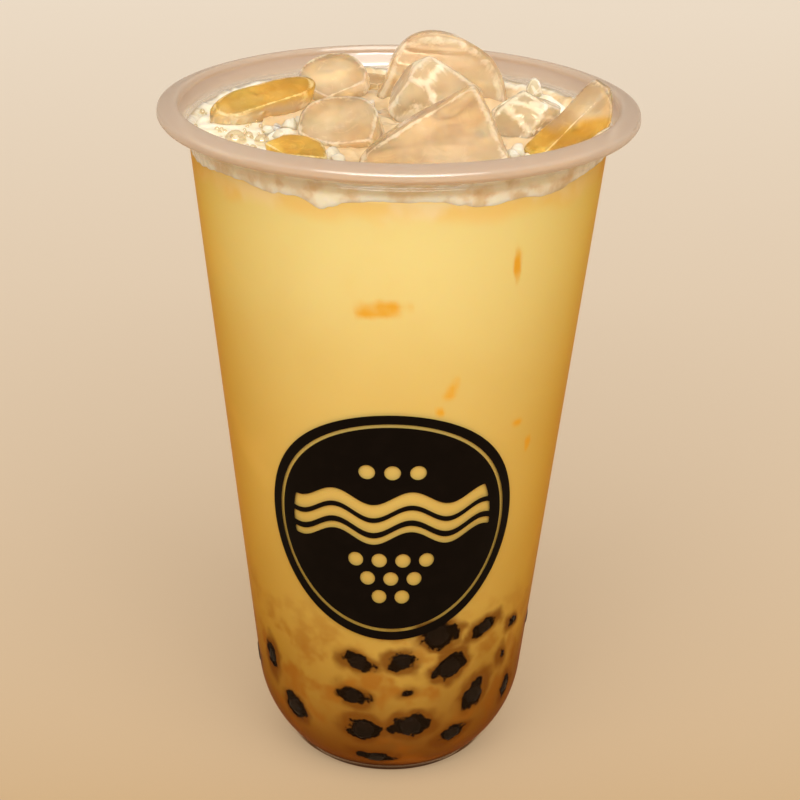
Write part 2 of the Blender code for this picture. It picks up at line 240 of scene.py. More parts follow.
class DrinkSettings(bpy.types.PropertyGroup):
    """Sizes and colours of the drink and what floats in it."""

    level: bpy.props.FloatProperty(
        name="Level", description="Height of the drink's surface", default=132.0 * MM, unit="LENGTH")
    milk_top: bpy.props.FloatVectorProperty(
        name="Upper milk tea", description="Colour of the drink near its surface", size=3, min=0.0,
        max=1.0, default=(0.76, 0.73, 0.46), subtype="COLOR")
    milk_middle: bpy.props.FloatVectorProperty(
        name="Middle milk tea", description="Colour of the drink half way down", size=3, min=0.0,
        max=1.0, default=(0.64, 0.50, 0.205), subtype="COLOR")
    milk_bottom: bpy.props.FloatVectorProperty(
        name="Lower milk tea", description="Colour of the drink among the pearls", size=3, min=0.0,
        max=1.0, default=(0.45, 0.305, 0.075), subtype="COLOR")
    foam: bpy.props.FloatVectorProperty(
        name="Foam", description="Colour of the foam", size=3, min=0.0, max=1.0,
        default=(0.98, 0.90, 0.74), subtype="COLOR")
    ice: bpy.props.FloatVectorProperty(
        name="Ice", description="Colour of the ice above the drink", size=3, min=0.0, max=1.0,
        default=(0.86, 0.68, 0.455), subtype="COLOR")
    soaked_ice: bpy.props.FloatVectorProperty(
        name="Soaked ice", description="Colour of the ice that tea has soaked", size=3, min=0.0,
        max=1.0, default=(0.92, 0.60, 0.145), subtype="COLOR")
    pearl: bpy.props.FloatVectorProperty(
        name="Pearl", description="Colour of the tapioca pearls", size=3, min=0.0, max=1.0,
        default=(0.007, 0.0035, 0.0018), subtype="COLOR")


class StageSettings(bpy.types.PropertyGroup):
    """The floor and the lights."""

    floor_near: bpy.props.FloatVectorProperty(
        name="Floor in front", description="Colour of the floor near the cup", size=3, min=0.0,
        max=1.0, default=(0.53, 0.385, 0.22), subtype="COLOR")
    floor_far: bpy.props.FloatVectorProperty(
        name="Floor behind", description="Colour of the floor far behind the cup", size=3, min=0.0,
        max=1.0, default=(0.73, 0.68, 0.60), subtype="COLOR")
    key_strength: bpy.props.FloatProperty(
        name="Key light", description="Strength of the broad light from the front", default=2.60)
    strip_power: bpy.props.FloatProperty(
        name="Strip light", description="Power of the strip light that makes the highlights",
        default=1.4, unit="POWER")
    sky: bpy.props.FloatProperty(
        name="Surroundings", description="Brightness of the surroundings", default=0.48)


# Surfaces

def grid_mesh(name, points, close_start=False, close_end=False):
    """Mesh of a grid of points whose columns run round a closed loop.

    Rows run down the outer side and columns run anticlockwise seen from +Z, which turns the faces
    outwards. A closed start or end adds a fan from the middle of the first or the last row.
    """
    rows, columns = points.shape[:2]
    last = rows - 1
    row = np.arange(last)[:, None]
    column = np.arange(columns)[None, :]
    below = row + 1
    beside = (column + 1) % columns
    corners = (row * columns + column, below * columns + column, below * columns + beside,
               row * columns + beside)
    faces = np.stack([np.broadcast_to(corner, (last, columns)) for corner in corners], -1)
    faces = faces.reshape(-1, 4).tolist()
    vertices = points.reshape(-1, 3)
    around = np.arange(columns)
    if close_start:
        middle = len(vertices)
        vertices = np.vstack([vertices, points[0].mean(0)])
        fan = np.stack([np.full(columns, middle), around, (around + 1) % columns], -1)
        faces += fan.tolist()
    if close_end:
        middle = len(vertices)
        vertices = np.vstack([vertices, points[-1].mean(0)])
        start = last * columns
        fan = np.stack([np.full(columns, middle), start + (around + 1) % columns, start + around], -1)
        faces += fan.tolist()
    mesh = bpy.data.meshes.new(name)
    mesh.from_pydata((vertices * MM).tolist(), [], faces)
    mesh.shade_smooth()
    mesh.update()
    return mesh


def turned_points(profile, columns):
    """A profile of radius and height carried round Z: each row is a circle at one profile point."""
    turn = np.linspace(0.0, 2.0 * np.pi, columns, endpoint=False)
    radius = profile[:, 0][:, None]
    height = np.broadcast_to(profile[:, 1][:, None], (len(profile), columns))
    return np.stack([radius * np.cos(turn), radius * np.sin(turn), height], -1)


def rounded_line(points, rounds=3):
    """A line with its corners cut: each round puts two points at a quarter of every stretch's ends."""
    line = np.array(points, float)
    for _ in range(rounds):
        near = 0.75 * line[:-1] + 0.25 * line[1:]
        far = 0.25 * line[:-1] + 0.75 * line[1:]
        middle = np.stack([near, far], 1).reshape(-1, line.shape[1])
        line = np.vstack([line[:1], middle, line[-1:]])
    return line


def waviness(points, wavelength, seed, waves=10):
    """Smooth uneven number at each point, mostly from -1 to 1.

    It is the sum of sine waves in seeded directions over the root of their number.
    """
    rng = np.random.default_rng(seed)
    directions = rng.normal(size=(waves, 3))
    directions /= np.linalg.norm(directions, axis=1)[:, None]
    lengths = wavelength * rng.uniform(0.6, 1.6, waves)
    phases = rng.uniform(0.0, 2.0 * np.pi, waves)
    angles = points @ (directions * (2.0 * np.pi / lengths)[:, None]).T + phases
    return np.sin(angles).sum(-1) / math.sqrt(waves)


def set_attribute(mesh, name, values):
    """Store one number for each vertex of a mesh; fan centres added later take the last value."""
    layer = mesh.attributes.new(name, "FLOAT", "POINT")
    numbers = np.full(len(mesh.vertices), float(values[-1]), np.float32)
    numbers[:len(values)] = values
    layer.data.foreach_set("value", numbers)


def new_piece(name, mesh, material, slot, *nodes):
    """Add a finished piece, which rides on the object's one body and replaces the named solids."""
    piece = bpy.data.objects.new(name, mesh)
    mesh.materials.append(material)
    bpy.context.scene.collection.objects.link(piece)
    if nodes:
        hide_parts(*nodes)
    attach(piece, "root")


# Cup wall

def wall_radius(height, inset):
    """Radius at a height of the surface that lies an inset inside the cup's outer face."""
    height = np.asarray(height, float)
    arc = CORNER_RADIUS - inset
    slope = math.hypot(1.0, WALL_TAPER)
    tangent = CORNER_HEIGHT - arc * WALL_TAPER / slope
    line = WALL_RADIUS_AT_AXIS_FOOT + WALL_TAPER * height - inset * slope
    centre = WALL_RADIUS_AT_AXIS_FOOT + WALL_TAPER * CORNER_HEIGHT - CORNER_RADIUS * slope
    drop = np.clip(arc ** 2 - (height - CORNER_HEIGHT) ** 2, 0.0, None)
    return np.where(height >= tangent, line, centre + np.sqrt(drop))


def wall_frame(turn, height, inset):
    """Point on the surface at an inset, and its outward, sideways and upward directions.

    The turn is in degrees from the front towards +X.
    """
    step = 0.01
    radius = float(wall_radius(height, inset))
    slope = float(wall_radius(height + step, inset) - wall_radius(height - step, inset)) / (2 * step)
    around = math.radians(turn - 90.0)
    out_flat = np.array([math.cos(around), math.sin(around), 0.0])
    side = np.array([-math.sin(around), math.cos(around), 0.0])
    up = out_flat * slope + np.array([0.0, 0.0, 1.0])
    up /= np.linalg.norm(up)
    outward = np.cross(side, up)
    point = out_flat * radius + np.array([0.0, 0.0, height])
    return point, outward, side, up


def wall_line(inset, bottom, top):
    """Profile of the surface at an inset, from the top down and round the corner to the bottom.

    The rows lie close among the pearls, and closer still by a cosine where the corner turns fastest.
    """
    upper = np.linspace(top, 44.0, 50, endpoint=False)
    middle = np.linspace(44.0, 12.0, 60, endpoint=False)
    lower = bottom + (12.0 - bottom) * (1.0 - np.sin(np.linspace(0.0, np.pi / 2, 36)))
    heights = np.concatenate([upper, middle, lower])
    return np.stack([wall_radius(heights, inset), heights], -1)


# Materials

class Shader:
    """A material's node tree, with short ways to add and join its nodes."""

    def __init__(self, name):
        self.material = bpy.data.materials.new(name)
        self.material.use_nodes = True
        self.tree = self.material.node_tree
        self.tree.nodes.clear()
        self.output = self.tree.nodes.new("ShaderNodeOutputMaterial")

    def add(self, kind, inputs=None, **settings):
        """Add a node, set its own settings, and set or join its inputs."""
        node = self.tree.nodes.new(kind)
        for key, value in settings.items():
            setattr(node, key, value)
        for key, value in (inputs or {}).items():
            self.feed(node.inputs[key], value)
        return node

    def feed(self, socket, value):
        """Join a socket to another, or set its number or colour."""
        if isinstance(value, bpy.types.NodeSocket):
            self.tree.links.new(value, socket)
        elif isinstance(value, (tuple, list)) and len(value) == 3 and socket.type == "RGBA":
            socket.default_value = (*value, 1.0)
        else:
            socket.default_value = value

    def math(self, operation, first, second=0.0, clamp=False):
        """A Math node's result."""
        node = self.add("ShaderNodeMath", {0: first, 1: second}, operation=operation, use_clamp=clamp)
        return node.outputs[0]

    def between(self, value, low, high, start=0.0, end=1.0):
        """The value's place between two limits, as a number from start to end, eased at both ends."""
        node = self.add("ShaderNodeMapRange", interpolation_type="SMOOTHSTEP")
        for key, given in ((0, value), (1, low), (2, high), (3, start), (4, end)):
            self.feed(node.inputs[key], given)
        return node.outputs[0]

    def mix(self, share, first, second, blend="MIX"):
        """A mix of two colours."""
        node = self.add("ShaderNodeMix", data_type="RGBA", blend_type=blend)
        self.feed(node.inputs[0], share)
        self.feed(node.inputs[6], first)
        self.feed(node.inputs[7], second)
        return node.outputs[2]

    def uneven(self, value, noise, size):
        """The value shifted by up to a size either way, as the noise says."""
        return self.math("ADD", value, self.between(noise, 0.3, 0.7, -size, size))

    def place(self):
        """Object coordinates, in metres."""
        return self.add("ShaderNodeTexCoord").outputs["Object"]

    def noise(self, scale, detail=3.0, roughness=0.5, distortion=0.0):
        """Fractal noise on Object coordinates, from 0 to 1."""
        node = self.add("ShaderNodeTexNoise", {
            "Vector": self.place(), "Scale": scale, "Detail": detail, "Roughness": roughness,
            "Distortion": distortion})
        return node.outputs[0]

    def cells(self, scale):
        """Distance to the nearest of many scattered points, which looks like packed bubbles."""
        node = self.add("ShaderNodeTexVoronoi", {"Vector": self.place(), "Scale": scale})
        return node.outputs["Distance"]

    def height(self):
        """Height above the table, in metres."""
        return self.add("ShaderNodeSeparateXYZ", {0: self.place()}).outputs["Z"]

    def across(self):
        """Distance towards +X, in metres."""
        return self.add("ShaderNodeSeparateXYZ", {0: self.place()}).outputs["X"]

    def attribute(self, name):
        """A number stored on the piece's vertices."""
        return self.add("ShaderNodeAttribute", attribute_name=name).outputs["Fac"]

    def bump(self, height, strength, distance):
        """A normal that follows small relief."""
        node = self.add("ShaderNodeBump", {"Height": height, "Strength": strength, "Distance": distance})
        return node.outputs[0]

    def finish(self, surface):
        """Join the surface shader to the output and give back the material."""
        self.tree.links.new(surface, self.output.inputs["Surface"])
        return self.material


def clear_plastic(settings):
    """Thin cup plastic: see-through with a little gloss on the wall, and milky at the mouth and lip."""
    shader = Shader("clear_plastic")
    height = shader.height()
    # Painted shade: the see-through plastic turns dark brown over the lowest 3 mm of the cup
    clear = shader.mix(shader.between(height, 0.0012, 0.0032), FOOT_PAINTED_SHADE, CLEAR_WALL)
    see_through = shader.add("ShaderNodeBsdfTransparent", {"Color": clear}).outputs[0]
    cloud = shader.noise(90.0, 3.0)
    top = settings.height
    lip = shader.between(height, top - 0.0044, top - 0.0032, 0.0, 0.50)
    mouth = shader.between(height, top - 0.0078, top - 0.0062, 0.0, 0.24)
    foot = shader.between(height, 0.0, 0.006, 0.02, 0.0)
    haze = shader.math("ADD", shader.math("ADD", lip, mouth), foot)
    haze = shader.math("ADD", haze, shader.between(cloud, 0.45, 0.75, 0.0, 0.005), clamp=True)
    milky = shader.add("ShaderNodeBsdfPrincipled", {
        "Base Color": settings.tint[:], "Roughness": 0.25, "Subsurface Weight": 0.9,
        "Subsurface Radius": (1.0, 0.85, 0.7), "Subsurface Scale": 0.006, "IOR": 1.45}).outputs[0]
    body = shader.add("ShaderNodeMixShader", {0: haze, 1: see_through, 2: milky}).outputs[0]
    gloss = shader.add("ShaderNodeBsdfGlossy", {"Color": WALL_GLOSS, "Roughness": 0.10})
    mirror = shader.math("MULTIPLY", shader.add("ShaderNodeFresnel", {"IOR": 1.12}).outputs[0], 0.08)
    mirror = shader.math("ADD", mirror, shader.between(height, top - 0.0078, top - 0.0060, 0.008, 0.11))
    return shader.finish(
        shader.add("ShaderNodeMixShader", {0: mirror, 1: body, 2: gloss.outputs[0]}).outputs[0])


def milk_tea(settings):
    """Opaque milk tea under a tea film: pale yellow on top, browner among the pearls, partly painted shade.

    The stored number pearl_gap is the distance in mm along the wall to the nearest pearl's cap, and
    amber is how near a sunk piece of ice lies behind the surface. Noise added to the distance frays
    the caps' edges.
    """
    shader = Shader("milk_tea")
    height = shader.height()
    cloud = shader.noise(26.0, 3.0, 0.45, 0.6)
    fine = shader.noise(140.0, 3.0)
    lifted = shader.uneven(height, cloud, 0.004)
    # Darker and browner downwards: partly the tea's own colour among the pearls, partly painted shade
    upper = shader.mix(shader.between(lifted, 0.072, 0.130), settings.milk_middle[:],
                       settings.milk_top[:])
    body = shader.mix(shader.between(lifted, 0.016, 0.076), settings.milk_bottom[:], upper)
    # Nearly black-brown near the foot: tea there, and painted shade
    deep_tea_and_shade = shader.between(lifted, 0.004, 0.036, 0.90, 0.0)
    body = shader.mix(deep_tea_and_shade, body, TEA_AND_SHADE_AT_FOOT)
    mottle = shader.math("MULTIPLY", shader.between(fine, 0.48, 0.68),
                         shader.between(height, 0.024, 0.052, 0.75, 0.0))
    body = shader.mix(mottle, body, TEA_MOTTLE)
    # Browner low down towards +X
    browner_low_right = shader.math("MULTIPLY", shader.between(shader.across(), 0.006, 0.028, 0.0, 0.70),
                          shader.between(lifted, 0.016, 0.044, 1.0, 0.0))
    body = shader.mix(browner_low_right, body, TEA_LOW_RIGHT)
    body = shader.mix(shader.between(cloud, 0.55, 0.75, 0.0, 0.25), body, MILK_CLOUD)
    ring = shader.uneven(height, shader.noise(70.0, 2.0), 0.0012)
    soaked = shader.mix(shader.between(shader.noise(62.0, 3.0), 0.42, 0.56), *MILK_UNDER_FROTH)
    body = shader.mix(shader.between(ring, 0.1262, 0.1300), body, soaked)
    body = shader.mix(shader.between(height, 0.1312, 0.1318), body, MILK_SURFACE)
    window = shader.uneven(shader.attribute("amber"), fine, 0.2)
    body = shader.mix(shader.between(window, 0.10, 1.10), body, SUNK_AMBER)
    grain = shader.noise(520.0, 3.0, 0.6)
    gap = shader.uneven(shader.attribute("pearl_gap"), grain, 0.6)
    halo = shader.uneven(shader.attribute("pearl_gap"), fine, 1.1)
    body = shader.mix(shader.between(halo, 0.1, 2.6, 0.90, 0.0), body, TEA_ROUND_PEARLS)
    colour = shader.mix(shader.between(gap, -0.30, 0.30, 1.0, 0.0), body, settings.pearl[:])
    surface = shader.add("ShaderNodeBsdfPrincipled", {
        "Base Color": colour, "Roughness": 0.45, "Subsurface Weight": 0.25,
        "Subsurface Radius": (1.0, 0.45, 0.15), "Subsurface Scale": 0.004, "IOR": 1.3,
        "Specular IOR Level": 0.0,
        "Coat Weight": 1.0, "Coat IOR": 1.02, "Coat Roughness": 0.3,
        "Coat Tint": TEA_FILM, "Normal": shader.bump(fine, 0.12, 0.0003)})
    return shader.finish(surface.outputs[0])


def ice(settings, name, clearness, frost):
    """Wet ice: blurry glass over a pale body, soaked amber low down, with frost and painted edge
    highlights.

    The stored number soak says how much tea is in the ice, and edge rises to one where two flat
    faces meet.
    """
    shader = Shader(name)
    cloud = shader.noise(60.0, 3.0, 0.5, 0.4)
    soak = shader.uneven(shader.attribute("soak"), cloud, 0.3)
    pale = shader.mix(shader.between(cloud, 0.35, 0.70), settings.ice[:], CLOUDY_ICE)
    colour = shader.mix(shader.between(soak, 0.2, 0.8), pale, settings.soaked_ice[:])
    cracks = shader.noise(240.0, 5.0, 0.6, 1.4)
    veins = shader.between(cracks, 0.55, 0.66, 0.0, frost)
    # Painted highlight: the colour turns pale near the edges, where two flat faces meet
    edge = shader.uneven(shader.attribute("edge"), cracks, 0.05)
    bright = shader.math("ADD", veins, shader.between(edge, 0.88, 0.99, 0.0, 0.34), clamp=True)
    colour = shader.mix(bright, colour, FROST_AND_EDGE_HIGHLIGHT)
    glassy = shader.math("SUBTRACT", clearness, shader.between(cloud, 0.40, 0.75, 0.0, 0.25), clamp=True)
    glassy = shader.math("SUBTRACT", glassy, bright, clamp=True)
    relief = shader.math("ADD", shader.math("MULTIPLY", shader.noise(110.0, 3.0), 0.8),
                         shader.math("MULTIPLY", cracks, frost))
    normal = shader.bump(relief, 0.3, 0.0006)
    surface = shader.add("ShaderNodeBsdfPrincipled", {
        "Base Color": colour, "Roughness": 0.10, "IOR": 1.11, "Transmission Weight": glassy,
        "Subsurface Weight": 0.8, "Subsurface Radius": (1.0, 0.75, 0.5), "Subsurface Scale": 0.008,
        "Coat Weight": 0.4, "Coat IOR": 1.15, "Coat Roughness": 0.03, "Normal": normal})
    return shader.finish(surface.outputs[0])


def tapioca(settings):
    """Cooked tapioca: nearly black, glossy and a little see-through."""
    shader = Shader("tapioca")
    cloud = shader.noise(220.0, 3.0)
    colour = shader.mix(shader.between(cloud, 0.35, 0.75), settings.pearl[:], PALER_PEARL)
    surface = shader.add("ShaderNodeBsdfPrincipled", {
        "Base Color": colour, "Roughness": 0.4, "Subsurface Weight": 0.1, "Subsurface Scale": 0.001,
        "Specular IOR Level": 0.03, "Normal": shader.bump(cloud, 0.1, 0.0002)})
    return shader.finish(surface.outputs[0])


def foam(settings):
    """Milk foam: cream-white with fine pits."""
    shader = Shader("foam")
    pits = shader.noise(900.0, 3.0)
    cloud = shader.noise(120.0, 3.0)
    colour = shader.mix(shader.between(cloud, 0.5, 0.8), settings.foam[:], MILKY_FOAM)
    surface = shader.add("ShaderNodeBsdfPrincipled", {
        "Base Color": colour, "Roughness": 0.32, "Subsurface Weight": 0.5,
        "Subsurface Radius": (1.0, 0.8, 0.5), "Subsurface Scale": 0.003, "IOR": 1.33,
        "Normal": shader.bump(pits, 0.35, 0.0003)})
    return shader.finish(surface.outputs[0])


def slush(settings):
    """Fine wet ice: the ice's colour, amber where it lies low and cream where froth covers it.

    The stored number froth says how much froth covers the place, and soak how much tea is in it.
    """
    shader = Shader("slush")
    cloud = shader.noise(110.0, 3.0, 0.5, 0.4)
    fine = shader.noise(420.0, 3.0)
    wet = shader.mix(shader.between(cloud, 0.35, 0.65), *SLUSH)
    wet = shader.mix(shader.between(shader.attribute("soak"), 0.2, 0.8), wet, SOAKED_SLUSH)
    share = shader.uneven(shader.attribute("froth"), fine, 0.25)
    colour = shader.mix(shader.between(share, 0.10, 0.95, 0.0, 0.9), wet, settings.foam[:])
    cells = shader.cells(650.0)
    surface = shader.add("ShaderNodeBsdfPrincipled", {
        "Base Color": colour, "Roughness": 0.25, "Specular IOR Level": 0.2,
        "Subsurface Weight": 0.7, "Subsurface Radius": (1.0, 0.75, 0.5), "Subsurface Scale": 0.004,
        "Coat Weight": 0.5, "Coat IOR": 1.3, "Coat Roughness": 0.05,
        "Normal": shader.bump(cells, 0.35, 0.0005)})
    return shader.finish(surface.outputs[0])


def bubble_film(settings):
    """The thin wet film of a bubble: nearly clear, with a bright rim."""
    shader = Shader("bubble_film")
    rim = shader.add("ShaderNodeLayerWeight", {"Blend": 0.35}).outputs["Facing"]
    clear = shader.add("ShaderNodeBsdfTransparent", {"Color": BUBBLE_FILM}).outputs[0]
    gloss = shader.add("ShaderNodeBsdfGlossy", {"Color": BUBBLE_GLOSS, "Roughness": 0.05})
    wet = shader.between(rim, 0.15, 0.95, 0.10, 0.75)
    return shader.finish(
        shader.add("ShaderNodeMixShader", {0: wet, 1: clear, 2: gloss.outputs[0]}).outputs[0])


def printing_ink(settings):
    """Screen-printed ink: black where the stored number ink is above zero, open elsewhere."""
    shader = Shader("printing_ink")
    open_share = shader.between(shader.attribute("ink"), -0.06, 0.06, 0.0, 1.0)
    worn = shader.noise(300.0, 3.0)
    colour = shader.mix(shader.between(worn, 0.4, 0.8), settings.ink[:], WORN_INK)
    surface = shader.add("ShaderNodeBsdfPrincipled", {
        "Base Color": colour, "Roughness": 0.55, "Specular IOR Level": 0.06, "Alpha": open_share})
    return shader.finish(surface.outputs[0])


def floor_paper(settings):
    """Plain paper, paler further back as painted light, lit from behind so that the cup's shadow stays
    soft.
    """
    shader = Shader("floor_paper")
    # Painted light: the floor is paler further back and darker near the cup
    back = shader.add("ShaderNodeSeparateXYZ", {0: shader.place()}).outputs["Y"]
    share = shader.add("ShaderNodeMapRange", {0: back, 1: -0.04, 2: 0.68}).outputs[0]
    share = shader.math("POWER", share, 0.6)
    colour = shader.mix(share, settings.floor_near[:], settings.floor_far[:])
    lit = shader.mix(1.0, colour, FLOOR_LIT, "MULTIPLY")
    glow = shader.mix(1.0, colour, FLOOR_GLOW, "MULTIPLY")
    surface = shader.add("ShaderNodeBsdfPrincipled", {
        "Base Color": lit, "Roughness": 0.9, "Specular IOR Level": 0.1,
        "Emission Color": glow, "Emission Strength": 1.0})
    return shader.finish(surface.outputs[0])


# Pieces

def ice_ratios(directions, shape, chips=()):
    """The share of the way out that each flat face, and the disc, takes up along each direction.

    A flat face gives the direction's part along its normal over its distance, and the disc gives
    the part across, shortened along X by the stretch, over its radius.
    """
    ratios = []
    if shape["disc"]:
        radius, stretch = shape["disc"]
        ratios.append(np.hypot(directions[..., 0] / stretch, directions[..., 1]) / radius)
    for x, y, z, distance in shape["planes"]:
        normal = np.array([x, y, z], float)
        normal /= np.linalg.norm(normal)
        ratios.append(np.clip(directions @ normal, 0.0, None) / distance)
    for normal, distance in chips:
        ratios.append(np.clip(directions @ normal, 0.0, None) / distance)
    return np.array(ratios)


def ice_reach(directions, shape, power, chips=()):
    """How far a rounded piece reaches from its middle: the ratios joined by a high power."""
    return (ice_ratios(directions, shape, chips) ** power).sum(0) ** (-1.0 / power)


def broken_faces(shape, seed, count, lean):
    """Seeded flat faces that take off a piece's corners: each lies a little inside the reach there."""
    rng = np.random.default_rng(seed)
    normals = rng.normal(size=(count, 3)) * np.array([1.0, 1.0, lean])
    normals /= np.linalg.norm(normals, axis=1)[:, None]
    reach = ice_reach(normals, shape, 10.0)
    depths = rng.uniform(0.82, 0.98, count)
    return [(normal, far * depth) for normal, far, depth in zip(normals, reach, depths)]


def ball_directions(rows, columns):
    """Unit directions of a ball: rows from +Z to -Z without the poles, and columns round Z."""
    fall = (np.arange(rows) + 0.5) / rows * np.pi
    turn = np.linspace(0.0, 2.0 * np.pi, columns, endpoint=False)
    fall, turn = np.meshgrid(fall, turn, indexing="ij")
    return np.stack([np.sin(fall) * np.cos(turn), np.sin(fall) * np.sin(turn), np.cos(fall)], -1)


def turned_by(angles):
    """Rotation matrix of turns round X, then Y, then Z, in degrees."""
    return np.array(Euler([math.radians(angle) for angle in angles], "XYZ").to_matrix())


def ice_surface(kind, soaked, middle, turn, shape, seed):
    """Points of a piece of ice, how much tea is in it, and how near an edge each point lies.

    The rounded flat faces are chipped as the kind of ice says, then made wavy by melting. The
    nearness to an edge is the second largest of the ratios over the largest.
    """
    directions = ball_directions(96, 144)
    power, faces, lean, ripple = ICE_KINDS[kind]
    chips = broken_faces(shape, seed, faces, lean)
    reach = ice_reach(directions, shape, power, chips)
    local = directions * reach[..., None]
    dent = 0.20 * waviness(local, 11.0, seed) + ripple * waviness(local, 2.6, seed + 1)
    local = local * (1.0 + (dent - 0.45) / np.maximum(reach, 3.0))[..., None]
    points = local @ turned_by(turn).T + np.array(middle)
    ordered = np.sort(ice_ratios(directions, shape, chips), axis=0)
    height = points[..., 2]
    soak = np.clip(np.minimum(soaked[1] - height, height - soaked[0]) / 4.0 + 0.5, 0.0, 1.0)
    return points, soak, ordered[-2] / ordered[-1]


def pearl_places():
    """Middle and outward direction of each pearl, which lies its inset inside its place on the wall."""
    places = []
    for turn, height, _, _, _ in PEARLS:
        point, outward, _, _ = wall_frame(turn, height, 0.0)
        places.append((point - outward * PEARL_INSET, outward))
    return places


def pearl_gap(points):
    """Distance in mm along the drink's surface to the nearest pearl's cap, which is a wavy round.

    The offset from the pearl's middle is split into its part along the outward direction, which is
    left out, and the part across it.
    """
    closest = np.full(len(points), 9.0)
    for number, (turn, height, cap, width, lean) in enumerate(PEARLS):
        point, outward, side, up = wall_frame(turn, height, 0.0)
        tilt = math.radians(lean)
        offset = points - point
        along = offset @ (side * math.cos(tilt) + up * math.sin(tilt)) / width
        rise = offset @ (up * math.cos(tilt) - side * math.sin(tilt)) * width
        behind = np.clip(-(offset @ outward) - PEARL_INSET, 0.0, None)
        wavy = 1.08 * cap * (1.0 + 0.13 * waviness(points, 4.0, 300 + number))
        closest = np.minimum(closest, np.hypot(along, rise) - wavy + behind)
    return closest


def amber_windows(points):
    """How near a sunk piece of ice lies: one in the middle of each leaning oval and zero outside it."""
    nearness = np.zeros(len(points))
    for number, (turn, height, half_width, half_height, lean) in enumerate(SUNK_ICE):
        point, outward, side, up = wall_frame(turn, height, 0.5)
        tilt = math.radians(lean)
        offset = points - point
        along = offset @ (side * math.cos(tilt) + up * math.sin(tilt)) / half_width
        rise = offset @ (up * math.cos(tilt) - side * math.sin(tilt)) / half_height
        far = np.hypot(along, rise) + 0.22 * waviness(points, 3.0, 400 + number)
        near = np.clip(1.5 - far, 0.0, 1.0) * (np.abs(offset @ outward) < 6.0)
        nearness = np.maximum(nearness, near)
    return nearness


def drink_top(turn_count, ring_radii, level, edge_radius):
    """The drink's surface: flat, raised at the wall, and pushed down under each piece of ice."""
    turn = np.linspace(0.0, 2.0 * np.pi, turn_count, endpoint=False)
    radius, turn = np.meshgrid(ring_radii, turn, indexing="ij")
    rise = 0.8 * np.exp(-(edge_radius - radius) / 0.8)
    flat = np.stack([radius * np.cos(turn), radius * np.sin(turn), level + rise], -1)
    flat[..., 2] += 0.25 * waviness(flat, 14.0, 5)
    for _, _, _, middle, angles, shape in ICE_PIECES:
        turned = turned_by(angles)
        for _ in range(24):
            offset = (flat - np.array(middle)) @ turned
            far = np.linalg.norm(offset, axis=-1) + 1e-6
            inside = far < ice_reach(offset / far[..., None], shape, 9.0)
            flat[..., 2] -= 0.5 * inside
    return flat


def ice_top(x, y, level):
    """Height of the ice's top over each place, or the level where there is none.

    Each place is tried at rising heights, and the last height that is inside a piece counts.
    """
    top = np.full(x.shape, level)
    for _, _, _, middle, angles, shape in ICE_PIECES:
        turned = turned_by(angles)
        for height in np.arange(level, level + 18.0, 0.5):
            offset = (np.stack([x, y, np.full(x.shape, height)], -1) - np.array(middle)) @ turned
            far = np.linalg.norm(offset, axis=-1) + 1e-6
            inside = far < ice_reach(offset / far[..., None], shape, 9.0)
            top = np.where(inside, np.maximum(top, height), top)
    return top


def smoothed_ice_top(x, y, level, reach):
    """The ice's top averaged round each place, with weights that fall off as a bell of that reach."""
    steps = np.arange(-42.0, 42.1, 2.0)
    across, along = [side.ravel() for side in np.meshgrid(steps, steps)]
    within = np.hypot(across, along) < 42.0
    across, along = across[within], along[within]
    top = ice_top(across, along, level)
    gap = (x.ravel()[:, None] - across) ** 2 + (y.ravel()[:, None] - along) ** 2
    weight = np.exp(-gap / (2.0 * reach ** 2))
    return ((weight * top).sum(1) / weight.sum(1)).reshape(x.shape)


def froth_nearness(x, y):
    """Rise of the froth and how near its lines lie: a bell across each line."""
    rise = np.zeros(x.shape)
    near = np.zeros(x.shape)
    for x0, y0, x1, y1, half_width, height in FROTH_LINES:
        length = (x1 - x0) ** 2 + (y1 - y0) ** 2
        share = np.clip(((x - x0) * (x1 - x0) + (y - y0) * (y1 - y0)) / length, 0.0, 1.0)
        far = np.hypot(x - x0 - share * (x1 - x0), y - y0 - share * (y1 - y0)) / half_width
        bell = np.exp(-far ** 2)
        rise = np.maximum(rise, height * bell)
        near = np.maximum(near, bell)
    return rise, near


def bed_height(x, y, level, edge):
    """Height of the slush, how near a line of froth lies, and how near the wall lies.

    The slush lies a little over the drink, follows the smoothed ice, rises with the froth and at the
    wall, and stays low under the patch of foam.
    """
    radius = np.hypot(x, y)
    flat = np.stack([x, y, np.full(x.shape, level)], -1)
    rise, near = froth_nearness(x, y)
    lump = 0.22 * waviness(flat, 6.0, 31) + 0.14 * waviness(flat, 2.2, 32)
    pile = np.clip(0.6 * (smoothed_ice_top(x, y, level, 3.5) - level), 0.0, 3.2)
    wall_share = np.clip((radius - edge + 3.5) / 3.0, 0.0, 1.0)
    height = level + 0.3 + pile + rise + lump + wall_share * 2.2
    height = np.where(under_foam(x, y), level - 0.2 + 3.0 * wall_share, height)
    return height, near, wall_share


def under_foam(x, y):
    """Whether each place lies under the patch of foam, by its turn from +X and its radius."""
    turn = np.degrees(np.arctan2(y, x)) % 360.0
    return (turn > 163.0) & (turn < 223.0) & (np.hypot(x, y) > 27.0)


